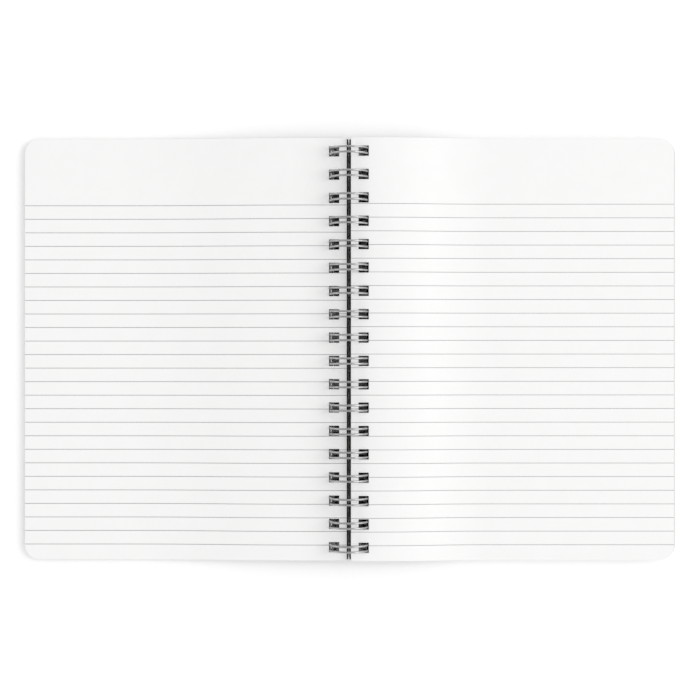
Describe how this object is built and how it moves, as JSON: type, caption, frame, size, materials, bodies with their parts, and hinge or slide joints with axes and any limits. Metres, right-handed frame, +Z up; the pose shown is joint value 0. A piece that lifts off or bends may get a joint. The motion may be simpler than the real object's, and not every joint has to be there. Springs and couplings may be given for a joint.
{
  "type": "open spiral notebook",
  "caption": "Ruled notebook lying open in the middle, two stacks of round-cornered leaves held by a twin-loop wire with card covers.",
  "frame": {"origin": "on the table under the middle of the binding, at the centre of the open notebook's footprint", "axes": "+X across the spread to the right-hand pages, +Y along the binding to the top of the pages, +Z up from the table"},
  "size_m": [0.357, 0.2304, 0.0213],
  "materials": {
    "page_paper": "matt uncoated paper",
    "cover_card": "matt black card",
    "binding_wire": "bright galvanised steel wire"
  },
  "bodies": {
    "right_block": {"right_pages": "page_paper"},
    "left_block": {"left_pages": "page_paper", "wire_binding": "binding_wire"},
    "front_card": {"front_cover": "cover_card"},
    "back_card": {"back_cover": "cover_card"}
  },
  "joints": [
    {"name": "close_notebook", "type": "hinge", "parent": "right_block", "child": "left_block", "pos_m": [-0.0009, 0, 0.01071], "axis": [0, 1, 0], "range_deg": [0, 182]},
    {"name": "front_cover_hinge", "type": "hinge", "parent": "left_block", "child": "front_card", "pos_m": [-0.0051, 0, 0.0028], "axis": [0, -1, 0], "range_deg": [0, 50]},
    {"name": "back_cover_hinge", "type": "hinge", "parent": "right_block", "child": "back_card", "pos_m": [0.0033, 0, 0.0028], "axis": [0, 1, 0], "range_deg": [0, 40]}
  ]
}
